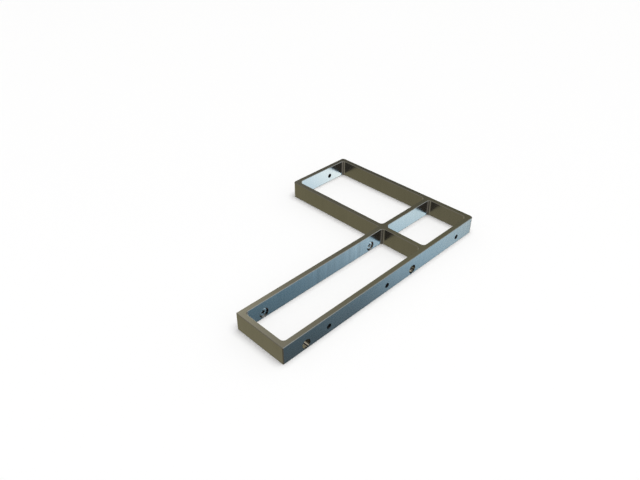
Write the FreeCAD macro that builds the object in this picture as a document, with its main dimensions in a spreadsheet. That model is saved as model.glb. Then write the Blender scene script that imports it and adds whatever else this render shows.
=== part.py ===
"""Drive bay adapter bracket: an open frame milled from one aluminium plate.

The bracket carries a 2.5-inch drive in a 3.5-inch bay. Seen from above it is an L: a leg runs beside the
drive bay and a head closes the bay's inner end. Both are frames of upright walls around open windows.

Units are millimetres. X runs along the bracket from its near end to its far wall, Y from the long side
to the opposite side, and Z up. The origin is the centre of the bottom of the bracket's box.
"""
import FreeCAD, Part
import os
import Sketcher

document = FreeCAD.newDocument("drive_bay_adapter_bracket")

# Driving dimensions, in millimetres and degrees
dimensions = {
    # The frame's walls
    "overall_length": 146.0,      # near end to far wall, outside
    "overall_width": 101.6,       # long side to opposite side, outside
    "frame_height": 10.0,         # height of every wall
    "wall": 3.0,                  # thickness of the walls round the outside
    "inner_bar": 3.0,             # thickness of the two bars that cross inside
    "leg_width": 32.0,            # long side to the drive bay
    "bay_length": 100.5,          # near end to the head
    "window_radius": 2.0,         # upright corners of the windows
    "head_radius": 2.0,           # outer upright corners of the head
    "leg_radius": 0.5,            # outer upright corners of the near end
    "edge_break": 0.2,            # chamfer on every top and bottom edge
    # Tapped holes for the side screws of a 3.5-inch bay
    "rail_hole_first": 28.5,      # near end to the first rail hole
    "rail_hole_second": 41.6,     # first to second rail hole
    "rail_hole_third": 101.6,     # first to third rail hole
    "rail_hole_level": 4.0,       # bottom to the axis of the rail holes
    "rail_hole_bore": 2.8,        # bore of a rail hole, at the crests of its thread
    # Countersunk holes for the drive's side screws, and the holes that let a screwdriver through to them
    "drive_hole_first": 14.0,     # near end to the first drive hole
    "drive_hole_pitch": 76.6,     # first to second drive hole
    "drive_hole_level": 3.0,      # bottom to the axis of the drive holes
    "drive_hole_bore": 3.4,       # clearance bore round the screw
    "countersink_diameter": 5.5,  # diameter of the countersink at the bar's face
    "countersink_angle": 90.0,    # full angle of the countersink, in degrees
    "driver_hole_bore": 5.0,      # hole through the long side for the screwdriver
    # Countersunk screws with a cross recess
    "screw_head": 4.1,            # diameter of the head
    "screw_shank": 3.0,           # diameter of the shank, at the crests of its thread
    "screw_length": 5.0,          # face of the head to the tip
    "screw_tip": 0.4,             # chamfer at the tip
    "recess_width": 2.2,          # length of each slot of the recess at the head's face
    "recess_slot": 0.75,          # width of each slot at the head's face
    "recess_depth": 1.1,          # depth of the recess
    "recess_floor_width": 1.1,    # length of each slot at its floor
    "recess_floor_slot": 0.5,     # width of each slot at its floor
}
sizes = document.addObject("Spreadsheet::Sheet", "sizes")
for row, (name, value) in enumerate(dimensions.items(), start=1):
    sizes.set("A" + str(row), name)
    sizes.set("B" + str(row), str(value))
    sizes.setAlias("B" + str(row), name)
document.recompute()

START, END, CENTRE = range(1, 4)
X_AXIS, Y_AXIS = range(-1, -3, -1)
ORIGIN = X_AXIS


def origin_feature(body, role):
    """Find one of a body's own origin planes or axes by its role."""
    return next(item for item in body.Origin.OriginFeatures if item.Role == role)


def new_sketch(body, name, plane, distance=None):
    """Add a sketch on a body's origin plane, or at a distance from it that an expression gives."""
    sketch = body.newObject("Sketcher::SketchObject", name)
    sketch.AttachmentSupport = (origin_feature(body, plane), [""])
    sketch.MapMode = "FlatFace"
    if distance is not None:
        sketch.setExpression(".AttachmentOffset.Base.z", distance)
    return sketch


def constrain(sketch, kind, *arguments, expression=None):
    """Add a constraint, and bind its value to an expression on the sheet where one is given."""
    if expression is not None:
        arguments = arguments + (sketch.evalExpression(expression),)
    index = sketch.addConstraint(Sketcher.Constraint(kind, *arguments))
    if expression is not None:
        sketch.setExpression("Constraints[" + str(index) + "]", expression)


def place(sketch, axis, geometry, point, expression):
    """Dimension a point from the sketch's origin, along X or along Y, by an expression on the sheet."""
    kind = "DistanceX" if axis == "X" else "DistanceY"
    value = sketch.evalExpression(expression)
    if value == 0:
        constrain(sketch, "PointOnObject", geometry, point, Y_AXIS if axis == "X" else X_AXIS)
    elif value > 0:
        constrain(sketch, kind, ORIGIN, START, geometry, point, expression=expression)
    else:
        constrain(sketch, kind, geometry, point, ORIGIN, START, expression="-(" + expression + ")")


def polygon(sketch, corners):
    """Draw a closed outline of straight edges through corners, each given by two expressions."""
    points = [FreeCAD.Vector(sketch.evalExpression(x), sketch.evalExpression(y), 0) for x, y in corners]
    edges = [sketch.addGeometry(Part.LineSegment(points[i - 1], points[i])) for i in range(len(points))]
    for i, (x, y) in enumerate(corners):
        constrain(sketch, "Coincident", edges[i - 1], END, edges[i], START)
        place(sketch, "X", edges[i], END, x)
        place(sketch, "Y", edges[i], END, y)


def rectangle_corners(left, right, bottom, top, radius):
    """List the corners of a rectangle, counter-clockwise, for square_outline."""
    return [(left, bottom, radius), (right, bottom, radius), (right, top, radius), (left, top, radius)]


def square_outline(sketch, corners):
    """Draw a closed outline whose edges run along X and Y in turn, starting along X.

    Each corner is its two coordinates and its radius, as expressions. A corner with no radius stays sharp.
    Each edge is dimensioned from the origin, and each arc is tangent to the two edges that it joins.
    """
    count = len(corners)
    points = [FreeCAD.Vector(sketch.evalExpression(x), sketch.evalExpression(y), 0) for x, y, _ in corners]
    radii = [0 if radius is None else sketch.evalExpression(radius) for _, _, radius in corners]
    ahead = [(points[(i + 1) % count] - points[i]).normalize() for i in range(count)]
    edges = []
    for i in range(count):
        following = (i + 1) % count
        edge_start = points[i] + ahead[i] * radii[i]
        edge_end = points[following] - ahead[i] * radii[following]
        edges.append(sketch.addGeometry(Part.LineSegment(edge_start, edge_end)))
    for i, (x, y, radius) in enumerate(corners):
        along_x = i % 2 == 0
        constrain(sketch, "Horizontal" if along_x else "Vertical", edges[i])
        place(sketch, "Y" if along_x else "X", edges[i], START, y if along_x else x)
        if radius is None:
            constrain(sketch, "Coincident", edges[i - 1], END, edges[i], START)
            continue
        arc_start = points[i] - ahead[i - 1] * radii[i]
        arc_end = points[i] + ahead[i] * radii[i]
        centre = points[i] + (ahead[i] - ahead[i - 1]) * radii[i]
        middle = centre + (points[i] - centre).normalize() * radii[i]
        arc = sketch.addGeometry(Part.Arc(arc_start, middle, arc_end))
        forwards = sketch.getPoint(arc, START).distanceToPoint(arc_start) < radii[i] / 2
        constrain(sketch, "Tangent", edges[i - 1], END, arc, START if forwards else END)
        constrain(sketch, "Tangent", arc, END if forwards else START, edges[i], START)
        constrain(sketch, "Radius", arc, expression=radius)


def circle(sketch, x, y, diameter):
    """Draw a circle whose centre and diameter are expressions on the sheet."""
    centre = FreeCAD.Vector(sketch.evalExpression(x), sketch.evalExpression(y), 0)
    radius = sketch.evalExpression(diameter) / 2
    geometry = sketch.addGeometry(Part.Circle(centre, FreeCAD.Vector(0, 0, 1), radius))
    place(sketch, "X", geometry, CENTRE, x)
    place(sketch, "Y", geometry, CENTRE, y)
    constrain(sketch, "Diameter", geometry, expression=diameter)


def drill(body, name, sketch, bore, depth):
    """Drill flat-ended holes at a sketch's circles, along +Y for a sketch that lies in X and Z."""
    document.recompute()
    hole = body.newObject("PartDesign::Hole", name)
    hole.Profile = sketch
    hole.ThreadType = "None"
    hole.DepthType = "Dimension"
    hole.DrillPoint = "Flat"
    hole.setExpression("Diameter", bore)
    hole.setExpression("Depth", depth)
    return hole


# Bracket frame: one solid. Its sketches count from the near end's corner at the long side, and the
# body's placement brings the middle of the bracket's box to the origin.
frame = document.addObject("PartDesign::Body", "bracket_frame")
frame.Label = "bracket_frame"
frame.setExpression(".Placement.Base.x", "-sizes.overall_length / 2")
frame.setExpression(".Placement.Base.y", "-sizes.overall_width / 2")

plate_outline = new_sketch(frame, "plate_outline", "XY_Plane")
square_outline(plate_outline, [
    ("0", "0", "sizes.leg_radius"),
    ("sizes.overall_length", "0", "sizes.head_radius"),
    ("sizes.overall_length", "sizes.overall_width", "sizes.head_radius"),
    ("sizes.bay_length", "sizes.overall_width", "sizes.head_radius"),
    ("sizes.bay_length", "sizes.leg_width", None),
    ("0", "sizes.leg_width", "sizes.leg_radius"),
])
plate = frame.newObject("PartDesign::Pad", "plate")
plate.Profile = plate_outline
plate.setExpression("Length", "sizes.frame_height")

leg_bar_near_face = "sizes.leg_width - sizes.inner_bar"
head_bar_far_face = "sizes.bay_length + sizes.inner_bar"
far_wall_face = "sizes.overall_length - sizes.wall"
opposite_wall_face = "sizes.overall_width - sizes.wall"

window_outlines = new_sketch(frame, "window_outlines", "XY_Plane")
for left, right, bottom, top in (
    ("sizes.wall", "sizes.bay_length", "sizes.wall", leg_bar_near_face),
    (head_bar_far_face, far_wall_face, "sizes.wall", leg_bar_near_face),
    (head_bar_far_face, far_wall_face, "sizes.leg_width", opposite_wall_face),
):
    square_outline(window_outlines, rectangle_corners(left, right, bottom, top, "sizes.window_radius"))
windows = frame.newObject("PartDesign::Pocket", "windows")
windows.Profile = window_outlines
windows.Type = "ThroughAll"
windows.Reversed = True
document.recompute()

broken_edges = frame.newObject("PartDesign::Chamfer", "broken_edges")
level_faces = [i + 1 for i, face in enumerate(windows.Shape.Faces) if abs(face.normalAt(0, 0).z) > 0.5]
broken_edges.Base = (windows, ["Face" + str(number) for number in level_faces])
broken_edges.setExpression("Size", "sizes.edge_break")

rail_hole_centres = new_sketch(frame, "rail_hole_centres", "XZ_Plane")
for distance in ("0", "sizes.rail_hole_second", "sizes.rail_hole_third"):
    circle(rail_hole_centres, "sizes.rail_hole_first + " + distance, "sizes.rail_hole_level",
           "sizes.rail_hole_bore")
drill(frame, "rail_holes", rail_hole_centres, "sizes.rail_hole_bore", "2 * sizes.wall")

opposite_hole_centre = new_sketch(frame, "opposite_hole_centre", "XZ_Plane", "-(" + opposite_wall_face + ")")
circle(opposite_hole_centre, "sizes.rail_hole_first + sizes.rail_hole_third", "sizes.rail_hole_level",
       "sizes.rail_hole_bore")
drill(frame, "opposite_hole", opposite_hole_centre, "sizes.rail_hole_bore", "2 * sizes.wall")

driver_hole_centres = new_sketch(frame, "driver_hole_centres", "XZ_Plane")
drive_hole_centres = new_sketch(frame, "drive_hole_centres", "XZ_Plane", "-(" + leg_bar_near_face + ")")
for distance in ("0", "sizes.drive_hole_pitch"):
    along = "sizes.drive_hole_first + " + distance
    circle(driver_hole_centres, along, "sizes.drive_hole_level", "sizes.driver_hole_bore")
    circle(drive_hole_centres, along, "sizes.drive_hole_level", "sizes.drive_hole_bore")
drill(frame, "driver_holes", driver_hole_centres, "sizes.driver_hole_bore", "2 * sizes.wall")
drive_holes = drill(frame, "drive_holes", drive_hole_centres, "sizes.drive_hole_bore", "2 * sizes.inner_bar")
drive_holes.HoleCutType = "Countersink"
drive_holes.setExpression("HoleCutDiameter", "sizes.countersink_diameter")
drive_holes.setExpression("HoleCutCountersinkAngle", "sizes.countersink_angle")
frame.Tip = drive_holes

# Drive screws: two solids. A screw is drawn about Z with the face of its head at 0 and its tip below,
# and the body's placement lays it along Y with its cone on the countersink's.
screws = document.addObject("PartDesign::Body", "drive_screws")
screws.Label = "drive_screws"
screws.AllowCompound = True
screws.Placement.Rotation = FreeCAD.Rotation(FreeCAD.Vector(1, 0, 0), 90)
head_below_face = "(sizes.countersink_diameter - sizes.screw_head) / 2 / tan(sizes.countersink_angle / 2 * 1 deg)"
screws.setExpression(".Placement.Base.x", "sizes.drive_hole_first - sizes.overall_length / 2")
screws.setExpression(".Placement.Base.y",
                     leg_bar_near_face + " + " + head_below_face + " - sizes.overall_width / 2")
screws.setExpression(".Placement.Base.z", "sizes.drive_hole_level")

cone_depth = "(sizes.screw_head - sizes.screw_shank) / 2 / tan(sizes.countersink_angle / 2 * 1 deg)"
screw_section = new_sketch(screws, "screw_section", "XZ_Plane")
polygon(screw_section, [
    ("0", "0"),
    ("0", "-sizes.screw_length"),
    ("sizes.screw_shank / 2 - sizes.screw_tip", "-sizes.screw_length"),
    ("sizes.screw_shank / 2", "sizes.screw_tip - sizes.screw_length"),
    ("sizes.screw_shank / 2", "-" + cone_depth),
    ("sizes.screw_head / 2", "0"),
])
turned_screw = screws.newObject("PartDesign::Revolution", "turned_screw")
turned_screw.Profile = screw_section
turned_screw.ReferenceAxis = (origin_feature(screws, "Z_Axis"), [""])
turned_screw.Angle = 360

slot_mouth = new_sketch(screws, "slot_mouth", "XY_Plane")
slot_floor = new_sketch(screws, "slot_floor", "XY_Plane", "-sizes.recess_depth")
for sketch, width, slot in (
    (slot_mouth, "sizes.recess_width / 2", "sizes.recess_slot / 2"),
    (slot_floor, "sizes.recess_floor_width / 2", "sizes.recess_floor_slot / 2"),
):
    square_outline(sketch, rectangle_corners("-" + width, width, "-" + slot, slot, None))
recess_slot = screws.newObject("PartDesign::SubtractiveLoft", "recess_slot")
recess_slot.Profile = slot_mouth
recess_slot.Sections = [slot_floor]
recess_slot.Ruled = True
document.recompute()

cross_recess = screws.newObject("PartDesign::PolarPattern", "cross_recess")
cross_recess.Originals = [recess_slot]
cross_recess.Axis = (origin_feature(screws, "Z_Axis"), [""])
cross_recess.Angle = 90
cross_recess.Occurrences = 2
screws.Tip = cross_recess
document.recompute()

screw_pair = screws.newObject("PartDesign::LinearPattern", "screw_pair")
screw_pair.TransformMode = "Whole shape"
screw_pair.Direction = (origin_feature(screws, "X_Axis"), [""])
screw_pair.setExpression("Length", "sizes.drive_hole_pitch")
screw_pair.Occurrences = 2
screws.Tip = screw_pair
document.recompute()

# Each object is sound before anything is written
for item in document.Objects:
    if "Invalid" in item.State or "Error" in item.State:
        raise RuntimeError(item.Name + " failed: " + ", ".join(item.State))
os.makedirs("parts", exist_ok=True)
for body, solids in ((frame, 1), (screws, 2)):
    if body.Shape.isNull() or not body.Shape.isValid() or len(body.Shape.Solids) != solids:
        raise RuntimeError(body.Label + " isn't sound")
for body in (frame, screws):
    body.Shape.exportStep("parts/" + body.Label + ".step")
    print(body.Label, "volume", round(body.Shape.Volume, 2), body.Shape.BoundBox)
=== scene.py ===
"""Drive bay adapter bracket: the looks of its milled frame, its threads and its two screws.

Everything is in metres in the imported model's frame: X along the bracket from its near end to its
far wall, Y from the long side to the opposite side, Z up, with the origin under its middle.
"""
import math

import bmesh
import bpy
import numpy as np
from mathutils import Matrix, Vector


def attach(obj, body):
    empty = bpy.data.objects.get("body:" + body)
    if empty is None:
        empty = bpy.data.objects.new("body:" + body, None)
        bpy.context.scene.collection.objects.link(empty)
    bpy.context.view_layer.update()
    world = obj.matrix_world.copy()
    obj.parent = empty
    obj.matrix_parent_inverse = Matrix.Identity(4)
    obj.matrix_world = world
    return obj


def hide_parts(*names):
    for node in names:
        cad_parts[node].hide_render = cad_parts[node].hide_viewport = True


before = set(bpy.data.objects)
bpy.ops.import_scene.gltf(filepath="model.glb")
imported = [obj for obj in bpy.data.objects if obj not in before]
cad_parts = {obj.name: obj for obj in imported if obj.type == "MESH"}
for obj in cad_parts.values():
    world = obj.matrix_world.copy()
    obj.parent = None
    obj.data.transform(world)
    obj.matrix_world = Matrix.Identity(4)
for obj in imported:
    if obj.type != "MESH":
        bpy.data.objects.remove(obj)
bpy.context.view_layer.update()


# Bracket frame
# One aluminium plate, milled to open frames of upright walls 3 mm thick, with its edges broken. The
# cutter leaves fine upright lines on the walls and long flat arcs on the level top and bottom. The
# metal is bare.

class Field:
    """A shader socket that does arithmetic: each operator adds the Math node of its name."""

    def __init__(self, nodes, socket):
        self.nodes = nodes
        self.socket = socket

    def math(self, operation, *others):
        """Add a Math node to this socket and the others."""
        values = dict(enumerate((self,) + others))
        return self.nodes.add("ShaderNodeMath", {"operation": operation}, values)

    def __add__(self, other):
        return self.math("ADD", other)

    def __sub__(self, other):
        return self.math("SUBTRACT", other)

    def __rsub__(self, other):
        return self.nodes.number(other) - self

    def __mul__(self, other):
        return self.math("MULTIPLY", other)

    def __truediv__(self, other):
        return self.math("DIVIDE", other)

    def __rtruediv__(self, other):
        return self.nodes.number(other) / self

    def __pow__(self, other):
        return self.math("POWER", other)

    def __rpow__(self, other):
        return self.nodes.number(other) ** self

    def __abs__(self):
        return self.math("ABSOLUTE")

    __radd__ = __add__
    __rmul__ = __mul__

    def ramp(self, start, end):
        """Rise smoothly from 0 at start to 1 at end, or fall where start is the larger."""
        values = {"Value": self, "From Min": start, "From Max": end}
        return self.nodes.add("ShaderNodeMapRange", {"interpolation_type": "SMOOTHSTEP"}, values)


class Nodes:
    """The node tree of a material or of the world."""

    def __init__(self, owner):
        owner.use_nodes = True
        self.tree = owner.node_tree
        self.tree.nodes.clear()

    def add(self, kind, settings=None, values=None, output=0):
        """Add a node, set it, fill or link its sockets, and return one of its outputs."""
        node = self.tree.nodes.new(kind)
        for name, setting in (settings or {}).items():
            setattr(node, name, setting)
        for name, value in (values or {}).items():
            if isinstance(value, Field):
                self.tree.links.new(value.socket, node.inputs[name])
            else:
                node.inputs[name].default_value = value
        return Field(self, node.outputs[output]) if node.outputs else None

    def number(self, value):
        """Give a plain number that stands before an operator a socket of its own."""
        return self.add("ShaderNodeMath", {"operation": "ADD"}, {0: value, 1: 0.0})

    def split(self, vector):
        """Give the three components of a vector."""
        return [self.add("ShaderNodeSeparateXYZ", None, {0: vector}, i) for i in range(3)]

    def join(self, x, y, z):
        """Make a vector of three components."""
        return self.add("ShaderNodeCombineXYZ", None, {0: x, 1: y, 2: z})

    def vector_math(self, operation, values, output=0):
        """Do one operation on vectors, such as a dot product."""
        return self.add("ShaderNodeVectorMath", {"operation": operation}, values, output)

    def mix(self, factor, first, second):
        """Blend two colours."""
        settings = {"data_type": "RGBA", "clamp_factor": True}
        return self.add("ShaderNodeMix", settings, {0: factor, 6: first, 7: second}, 2)

    def distance(self, a, b):
        """Give how far a point is from an axis, of its two distances across it."""
        return self.vector_math("LENGTH", {0: self.join(a, b, 0.0)}, 1)

    def noise(self, x, y, z, scale, detail=2.0, roughness=0.5):
        """Give cloudy noise from 0 to 1, with scale features to the metre along each coordinate."""
        values = {"Vector": self.join(x, y, z), "Scale": scale,
                  "Detail": detail, "Roughness": roughness}
        return self.add("ShaderNodeTexNoise", {"noise_dimensions": "3D"}, values)


def bare_metal(nodes, colour, roughness, height):
    """Finish a metal with its colour, its roughness and the height in metres of its bump."""
    values = {"Strength": 1.0, "Distance": 1.0, "Height": height}
    normal = nodes.add("ShaderNodeBump", None, values)
    values = {"Base Color": colour, "Metallic": 1.0, "Roughness": roughness, "Normal": normal}
    surface = nodes.add("ShaderNodeBsdfPrincipled", None, values)
    nodes.add("ShaderNodeOutputMaterial", None, {"Surface": surface})


# Where the walls and the holes lie, and how wide the holes are
half_height = 0.005
wall = 0.003
side_wall_outside = 0.0508
side_wall_inside = side_wall_outside - wall
inner_bar_middle = -0.0203
rail_hole_places = (-0.0445, -0.0029, 0.0571)
rail_hole_level = 0.004
rail_hole_radius = 0.0014
screw_hole_middle = -0.0207
screw_hole_half_pitch = 0.0383
screw_hole_level = 0.003
screwdriver_hole_radius = 0.0025
countersink_radius = 0.00275

milled_aluminium = bpy.data.materials.new("milled_aluminium")
aluminium = Nodes(milled_aluminium)
x, y, z = aluminium.split(aluminium.add("ShaderNodeTexCoord", output="Object"))
normal = aluminium.add("ShaderNodeTexCoord", output="Normal")
facing_x, facing_y, facing_z = [abs(part) for part in aluminium.split(normal)]
level = facing_z.ramp(0.6, 0.9)

# A wide face mill goes along X. Its arcs belong to an ellipse that reaches 25 mm along and 125 mm
# across, and they lie about 0.35 mm apart, unevenly where the feed changes
arc_along = 0.025
arc_across = 0.125
arc = x - (arc_along ** 2 - y * y * (arc_along / arc_across) ** 2) ** 0.5
arc_depth = aluminium.noise(arc, 0.0, 0.0, scale=5200.0, detail=1.0)

# An end mill goes round the walls. Its lines stand upright, and a faint step follows its depth
along = x * facing_y + y * facing_x
upright = aluminium.noise(along, z * 0.04, facing_y, scale=4200.0, detail=2.0)
step = aluminium.noise(z, along * 0.01, facing_y, scale=900.0, detail=1.0)

# The holes in the sides are drilled along Y, and the drill and the countersink leave rings. Each
# mask reaches a little past its hole, so that it covers the whole bore
from_first, from_second, from_third = [abs(x - place) for place in rail_hole_places]
across_tapped = from_first.math("MINIMUM", from_second).math("MINIMUM", from_third)
from_tapped = aluminium.distance(across_tapped, z - rail_hole_level)
across_drilled = abs(x - screw_hole_middle) - screw_hole_half_pitch
above_drilled = z - screw_hole_level
from_drilled = aluminium.distance(across_drilled, above_drilled)
in_side = abs(y).ramp(side_wall_inside - 0.0004, side_wall_inside)
in_bar = abs(y - inner_bar_middle).ramp(wall / 2 + 0.0004, wall / 2 + 0.00005)
tapped = from_tapped.ramp(rail_hole_radius + 0.00008, rail_hole_radius + 0.00001) * in_side
drilled = from_drilled.ramp(screwdriver_hole_radius + 0.00012, screwdriver_hole_radius + 0.00002)
drilled = drilled * in_side
countersunk = from_drilled.ramp(countersink_radius + 0.0001, countersink_radius) * in_bar
bored = drilled + countersunk
rings = aluminium.noise(y, from_drilled, 0.0, scale=7000.0, detail=1.0)

# The marks and the step are 0.3 micrometres high, and the waviness under them 5
marks_height = 0.0000003
waviness_height = 0.000005
milled = level * (arc_depth - upright) + upright
marks = bored * (rings - milled) + milled
waviness = aluminium.noise(x, y, z, scale=160.0, detail=1.0)
height = marks * marks_height + waviness * waviness_height + step * marks_height

# Hairline scratches from handling: thin contours of a long noise, nearly along X, here and there
drift = aluminium.noise(x * 0.03, y + x * 0.07, z - x * 0.05, scale=900.0, detail=0.0)
handled = aluminium.noise(x, y, z, scale=60.0, detail=1.0).ramp(0.55, 0.7)
scratch = abs(drift - 0.5).ramp(0.012, 0.0) * handled

# The metal is duller in patches and in upright bands. The bands are stronger where the end mill
# trembled, on the long inner bar's middle and far part
dull_dark = (0.317, 0.314, 0.307, 1.0)
dull_light = (0.385, 0.383, 0.377, 1.0)
patch = aluminium.noise(x, y, z, scale=70.0, detail=2.0)
band = aluminium.noise(along, z * 0.05, facing_y, scale=420.0, detail=2.0)
trembled = in_bar * x.ramp(-0.034, -0.024) * x.ramp(0.030, 0.024)
band_strength = (1.0 - level) * (0.7 + trembled * 2.0)
tone = 0.5 + (patch - 0.5) * 0.6 + (band - 0.5) * band_strength
dull = aluminium.mix(tone, dull_dark, dull_light)

# The broken edges and the scratches are rubbed bright
rubbed_bright = (0.55, 0.545, 0.53, 1.0)
edge = abs(z - half_height).ramp(half_height - 0.00025, half_height - 0.00014)
edge = edge * facing_z.ramp(0.97, 0.85)
rubbed = aluminium.mix(edge * 0.1 + scratch * 0.3, dull, rubbed_bright)

# The screwdriver's holes are painted dark inside as painted shade, but for bright streaks of
# painted reflection low down, on the half of each bore that faces up
bore_painted_shade = (0.07, 0.07, 0.07, 1.0)
bore_painted_reflection = (0.80, 0.78, 0.70, 1.0)
round_x = across_drilled / from_drilled
round_z = above_drilled / from_drilled
# Painted reflection: bright streaks on the lower half of each bore, over the painted shade of the
# rest
reflection_streak = aluminium.noise(round_x, round_z, 0.3, scale=4.0, detail=1.0).ramp(0.44, 0.56)
painted_reflection_streaks = reflection_streak * round_z.ramp(0.0, -0.5)
painted_bore_light = aluminium.mix(painted_reflection_streaks, bore_painted_shade, bore_painted_reflection)
bore_colour = aluminium.mix(drilled, rubbed, painted_bore_light)

# Painted shade, near black, darkens the tapped bores, and each countersink but for a crescent at
# its foot
painted_hole_shade = (0.03, 0.034, 0.045, 1.0)
in_cone = from_drilled.ramp(countersink_radius + 0.00001, countersink_radius - 0.00007)
in_cone = countersunk * in_cone
# Painted shade in the cone: none at its foot, most towards its lower near side
cone_painted_shade = round_z.ramp(-0.95, -0.65) * 0.6 + (0.45 - round_x - round_z).ramp(0.9, 1.3) * 0.5
colour = aluminium.mix(tapped * 0.95 + in_cone * cone_painted_shade, bore_colour, painted_hole_shade)

roughness = 0.20 + (patch - 0.5) * 0.03 + (marks - 0.5) * 0.02
roughness = roughness + edge * 0.05 + tapped * 0.20 - bored * 0.04
bare_metal(aluminium, colour, roughness, height)
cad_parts["bracket_frame"].data.materials[0] = milled_aluminium


# Rail hole threads
# The four small side holes are tapped for the bay's side screws. The thread is 0.794 mm in pitch
# and runs through the whole 3 mm of the wall. It fades out at both mouths, where the tap's lead and
# the broken edge meet it.

def grid_mesh(name, points, closed_rows):
    """Make a mesh of grids of points, closed along each row, and across them with closed_rows.

    points is an array of shape (pieces, rows, columns, 3).
    """
    pieces, rows, columns = points.shape[:3]
    row = np.arange(rows if closed_rows else rows - 1)[:, None]
    column = np.arange(columns)[None, :]
    next_row = (row + 1) % rows
    next_column = (column + 1) % columns
    quads = np.stack([
        row * columns + column, row * columns + next_column,
        next_row * columns + next_column, next_row * columns + column], axis=-1).reshape(-1, 4)
    quads = (quads[None] + np.arange(pieces)[:, None, None] * rows * columns).reshape(-1, 4)
    mesh = bpy.data.meshes.new(name)
    mesh.from_pydata(points.reshape(-1, 3), [], quads)
    # The rings at a pole become single points, and all faces turn outwards
    shell = bmesh.new()
    shell.from_mesh(mesh)
    bmesh.ops.remove_doubles(shell, verts=shell.verts, dist=0.0000001)
    bmesh.ops.recalc_face_normals(shell, faces=shell.faces)
    shell.to_mesh(mesh)
    shell.free()
    mesh.polygons.foreach_set("use_smooth", np.ones(len(mesh.polygons), dtype=bool))
    piece = bpy.data.objects.new(name, mesh)
    bpy.context.scene.collection.objects.link(piece)
    return piece


def thread_wave(turns):
    """Give a flattened V thread: 0 at its roots and 1 at its crests, once in each whole turn."""
    return np.clip(1.6 * (1 - np.abs((turns % 1.0) * 2 - 1)) - 0.3, 0, 1)


def tapped_bore(holes, radius, height, pitch, depth):
    """Line each bore with a thread.

    Round the bore at angle a and depth d, the surface stands inwards from its root by the thread's
    wave at (d / pitch + a / full turn), times the way from root to crest and a fade at both mouths.
    The root lies 0.01 mm and the back 0.05 mm inside the wall, so that each lining is closed.
    """
    rows, columns = 76, 72
    end_gap, fade_length = 0.00004, 0.00035
    root, back, crest = radius + 0.00001, radius + 0.00005, radius - height
    angle = np.linspace(0, 2 * np.pi, columns, endpoint=False)[None, :]
    along = np.linspace(end_gap, depth - end_gap, rows)[:, None]
    fade = np.clip(np.minimum(along, depth - along) / fade_length, 0, 1)
    wave = thread_wave(along / pitch + angle / (2 * np.pi))
    radii = np.concatenate([root - (root - crest) * fade * wave, np.full((2, columns), back)])
    depths = np.concatenate([along, along[[-1, 0]]]) + 0 * angle
    rings = np.stack([radii * np.cos(angle), depths, radii * np.sin(angle)], axis=-1)
    return rings[None] + np.array(holes)[:, None, None, :]


long_side_holes = [(place, -side_wall_outside, rail_hole_level) for place in rail_hole_places]
opposite_hole = (rail_hole_places[-1], side_wall_inside, rail_hole_level)
rail_hole_threads = grid_mesh("rail_hole_threads", tapped_bore(
    long_side_holes + [opposite_hole], radius=rail_hole_radius, height=0.00012,
    pitch=0.000794, depth=wall), closed_rows=True)
rail_hole_threads.data.materials.append(milled_aluminium)
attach(rail_hole_threads, "root")


# Drive screws
# Two M3 countersunk steel screws, 5 mm long, with a small head, a cross recess and bright plating.
# Their cones seat deep in the leg's inner bar, and their threaded ends stand 2.7 mm into the drive
# bay.

def cross_outline(reach, slot, corner):
    """Go once round a cross of two slots, and give the x and the y of each of its points.

    reach is half a slot's length, slot half its width, and corner the cut at the inner corners. A
    quarter is one slot's half end, its side, the inner corner, and the same again mirrored at 45
    degrees. Its bends are points on the way from 0 to 1, and between them it runs straight.
    """
    way = np.linspace(0, 1, 30, endpoint=False)
    bends = [0, 0.16, 0.24, 0.42, 0.58, 0.76, 0.84, 1]
    cut = slot * 0.3
    across = np.interp(way, bends, [
        reach, reach, reach - cut, slot + corner, slot, slot, slot - cut, 0])
    upward = np.interp(way, bends, [
        0, slot - cut, slot, slot, slot + corner, reach - cut, reach, reach])
    quarters = [(across, upward), (-upward, across), (-across, -upward), (upward, -across)]
    return [np.concatenate(parts) for parts in zip(*quarters)]


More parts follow.
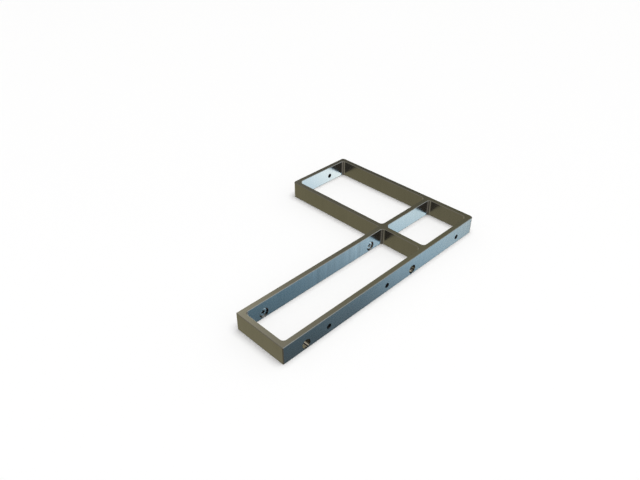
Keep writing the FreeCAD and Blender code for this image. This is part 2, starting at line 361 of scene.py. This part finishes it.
def recessed_screws(places, head, shank, length, tip, recess, recess_floor, recess_depth, pitch,
                    height):
    """Draw each screw as one closed grid of rings, from the recess's floor over the rim to its tip.

    A ring's angle is that of the cross outline's points. The recess rings shrink the outline with
    depth, the face rings blend it into a circle, and below the rim the radius is a cone's and then
    the shank's. There the thread's wave at (depth / pitch - angle / full turn) takes its height
    off, and fades at both ends. recess and recess_floor are the slots' length and width.
    """
    mouth, floor = [cross_outline(long / 2, wide / 2, long * 0.04)
                    for long, wide in (recess, recess_floor)]
    angle = np.unwrap(np.arctan2(mouth[1], mouth[0]))
    circle = [np.cos(angle), np.sin(angle)]
    rings = []

    def add_ring(start, end, blend, depth):
        """Add a ring that is blended from one outline to another."""
        rings.append([a * (1 - blend) + b * blend for a, b in zip(start, end)] + [depth])

    # The recess: its floor, dished by 0.12 mm, and its walls
    centre = [0 * angle, 0 * angle]
    for part, dish in ((0.0, 0.00012), (0.5, 0.00006), (1.0, 0.0)):
        add_ring(centre, floor, part, recess_depth + dish)
    for part in (0.97, 0.67, 0.33, 0.06, 0.03):
        add_ring(mouth, floor, part, recess_depth * part)
    # The head's face, up to 0.06 mm from its edge, and the edge, which is rounded and 0.1 mm high
    rim = [axis * (head / 2 - 0.00006) for axis in circle]
    for part, depth in ((0.0, 0.00001), (0.04, 0.0), (0.35, 0.0), (0.7, 0.0), (0.97, 0.0),
                        (1.0, 0.00001)):
        add_ring(mouth, rim, part, depth)
    for inset, depth in ((0.00002, 0.00003), (0.0, 0.00007), (0.0, 0.0001)):
        add_ring(centre, circle, head / 2 - inset, depth)
    # The cone, the threaded shank, its tapered tip and the flat end
    cone_end = (head - shank) / 2
    thread_start, run_in_length = cone_end + 0.0001, 0.0004
    cone_depths = np.linspace(0.00015, cone_end, 8)
    shank_depths = np.linspace(cone_end + 0.00004, length, 96)
    for depth in np.concatenate([cone_depths, shank_depths]):
        taper = min(1.0, (length - depth) / tip)
        core = max(shank / 2, head / 2 - depth) - (1 - taper) * tip
        run_in = np.clip((depth - thread_start) / run_in_length, 0, 1)
        wave = thread_wave(depth / pitch - angle / (2 * np.pi))
        groove = height * run_in * np.clip(taper, 0.25, 1) * (1 - wave)
        add_ring(centre, circle, core - groove, depth)
    for radius in (0.0005, 0.0):
        add_ring(centre, circle, radius, length)
    screw = np.stack([np.stack([ring[0], ring[2] + 0 * angle, ring[1]], axis=-1) for ring in rings])
    return screw[None] + np.array(places)[:, None, None, :]


screw_face = -0.0211
recess_length = 0.0022
drive_screws = grid_mesh("recessed_drive_screws", recessed_screws(
    [(screw_hole_middle + side * screw_hole_half_pitch, screw_face, screw_hole_level)
     for side in (-1, 1)],
    head=0.0041, shank=0.0030, length=0.0050, tip=0.0004, recess=(recess_length, 0.00075),
    recess_floor=(0.0011, 0.0005), recess_depth=0.0011, pitch=0.0005, height=0.00027),
    closed_rows=False)
drive_screws.data.set_sharp_from_angle(angle=math.radians(40))

# The plating is finely grained, the lathe leaves rings round the head, and the recess is painted
# dark as shade
plated_steel = bpy.data.materials.new("plated_steel")
steel = Nodes(plated_steel)
x, y, z = steel.split(steel.add("ShaderNodeTexCoord", output="Object"))
radius = steel.distance(abs(x - screw_hole_middle) - screw_hole_half_pitch, z - screw_hole_level)
depth = y - screw_face
in_recess = depth.ramp(0.000005, 0.00006)
in_recess = in_recess * radius.ramp(recess_length / 2 + 0.0002, recess_length / 2)
grain = steel.noise(x, y, z, scale=2600.0, detail=3.0, roughness=0.6)
turned = steel.noise(radius, depth, 0.0, scale=9000.0, detail=1.0)
bright = steel.mix(grain.ramp(0.35, 0.7), (0.38, 0.38, 0.375, 1.0), (0.44, 0.44, 0.435, 1.0))
bare_metal(
    steel,
    # The recess's near-black colour is painted shade
    colour=steel.mix(in_recess * 0.96, bright, (0.03, 0.03, 0.034, 1.0)),
    roughness=0.24 + (grain - 0.5) * 0.12 + in_recess * 0.25,
    height=turned * 0.000001 + grain * 0.000002)
drive_screws.data.materials.append(plated_steel)
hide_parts("drive_screws")
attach(drive_screws, "root")


# Floor and studio
# A plain pale floor on a white ground, under soft light from above. The bare metal mirrors neither
# of them, but a dim, warm studio with one bright, cool window, low past the long side's far end.

floor_reach = 3.0
floor_level = -0.0001
floor_mesh = bpy.data.meshes.new("floor")
floor_mesh.from_pydata([
    (-floor_reach, -floor_reach, floor_level), (floor_reach, -floor_reach, floor_level),
    (floor_reach, floor_reach, floor_level), (-floor_reach, floor_reach, floor_level),
], [], [(0, 1, 2, 3)])
floor = bpy.data.objects.new("floor", floor_mesh)
bpy.context.scene.collection.objects.link(floor)
pale_floor = bpy.data.materials.new("pale_floor")
paint = Nodes(pale_floor)
x, y, z = paint.split(paint.add("ShaderNodeTexCoord", output="Object"))
pale = paint.mix(paint.noise(x, y, z, scale=3.0), (0.955, 0.955, 0.955, 1.0),
                 (0.965, 0.965, 0.965, 1.0))
painted = paint.add("ShaderNodeBsdfPrincipled", None, {"Base Color": pale, "Roughness": 0.9})
paint.add("ShaderNodeOutputMaterial", None, {"Surface": painted})
floor_mesh.materials.append(pale_floor)
floor.visible_glossy = False

for name, strength, spread, towards in (
    ("overhead_light", 2.35, 45.0, (0.05, -0.10, 1.0)),
    ("side_light", 0.30, 90.0, (1.0, -0.8, 1.2)),
):
    light = bpy.data.lights.new(name, "SUN")
    light.energy = strength
    light.angle = math.radians(spread)
    lamp = bpy.data.objects.new(name, light)
    lamp.rotation_euler = Vector(towards).to_track_quat("Z", "Y").to_euler()
    lamp.visible_glossy = False
    bpy.context.scene.collection.objects.link(lamp)

# Each row is a soft light that the metal mirrors: its middle, in degrees round from X and up from
# the level, its sharpness and its colour. It fades with the cosine of the angle from its middle, to
# the power of its sharpness
world = bpy.data.worlds.new("soft_studio")
bpy.context.scene.world = world
studio = Nodes(world)
direction = studio.add("ShaderNodeTexCoord", output="Generated")
mirrored_light = studio.join(0.026, 0.025, 0.02)
for azimuth, elevation, sharpness, light_colour in (
    # Wide ones all round
    (10, 88, 5, (0.6, 0.576, 0.528)),
    (-45, 38, 8, (0.9, 0.96, 0.96)),
    (-135, 45, 5, (0.42, 0.396, 0.336)),
    (-105, 0, 14, (0.54, 0.54, 0.504)),
    (178, 3, 14, (0.504, 0.468, 0.396)),
    (15, -6, 14, (0.156, 0.156, 0.144)),
    (135, 40, 6, (0.3, 0.276, 0.24)),
    (48, -22, 10, (0.816, 0.792, 0.72)),
    (5, -32, 14, (0.624, 0.612, 0.576)),
    (88, -18, 16, (0.576, 0.552, 0.492)),
    (-96, -14, 30, (0.75, 0.66, 0.53)),
    (182, -16, 12, (0.312, 0.294, 0.24)),
    (-137, -6, 36, (0.93, 0.865, 0.71)),
    (60, -78, 6, (0.34, 0.32, 0.285)),
    (-95, -52, 20, (0.27, 0.245, 0.205)),
    # Those that the camera sees in the top
    (26.5, 43.4, 57, (0.396, 0.375, 0.172)),
    (70.4, 39, 33, (1.215, 1.137, 0.824)),
    (42, 22, 30, (0.07, 0.065, 0.052)),
    # The cool window, which it sees in the long side and the bars
    (-34.5, -32.5, 160, (0.385, 0.931, 1.388)),
    (-39.2, -20.8, 81, (4.805, 4.264, 3.027)),
    (-54.5, -31.9, 58, (0.3, 0.649, 0.901)),
    (-48, -26, 110, (0.564, 0.966, 1.514)),
    # Those that it sees in the faces towards the near end, and in the windows' corners
    (121, -33.8, 4, (0.318, 0.29, 0.164)),
    (-168, -35, 24, (0.14, 0.125, 0.09)),
    (-128, -42, 60, (0.06, 0.055, 0.04)),
):
    turn, rise = math.radians(azimuth), math.radians(elevation)
    middle = (math.cos(rise) * math.cos(turn), math.cos(rise) * math.sin(turn), math.sin(rise))
    cosine = studio.vector_math("DOT_PRODUCT", {0: direction, 1: middle}, 1)
    fade = cosine.math("MAXIMUM", 0.0) ** sharpness
    soft_light = studio.vector_math("SCALE", {0: light_colour, "Scale": fade})
    mirrored_light = studio.vector_math("ADD", {0: mirrored_light, 1: soft_light})

# The camera sees the ground at full white, the metal mirrors the studio at full strength, and only
# a quarter of the white lights the scene
fill = 0.25
mirrored = studio.add("ShaderNodeLightPath", output="Is Glossy Ray")
seen = studio.add("ShaderNodeLightPath", output="Is Camera Ray")
surroundings = studio.add("ShaderNodeBackground", None, {
    "Color": studio.mix(mirrored, (1.0, 1.0, 1.0, 1.0), mirrored_light),
    "Strength": fill + (mirrored + seen) * (1.0 - fill)})
studio.add("ShaderNodeOutputWorld", None, {"Surface": surroundings})


# Camera
# It looks down at 35 degrees on the near end's corner, as the photograph does, and is level. Its
# place and its lens were fitted to the bracket's edges there.

camera = bpy.data.objects.new("camera", bpy.data.cameras.new("camera"))
camera.location = (-0.19006, -0.19043, 0.19523)
camera.rotation_euler = Vector((1, 1, -1)).to_track_quat("-Z", "Y").to_euler()
camera.data.lens = 33.59
camera.data.sensor_width = 36.0
camera.data.clip_start = 0.01
bpy.context.scene.collection.objects.link(camera)
bpy.context.scene.camera = camera
bpy.context.scene.view_settings.view_transform = "Standard"
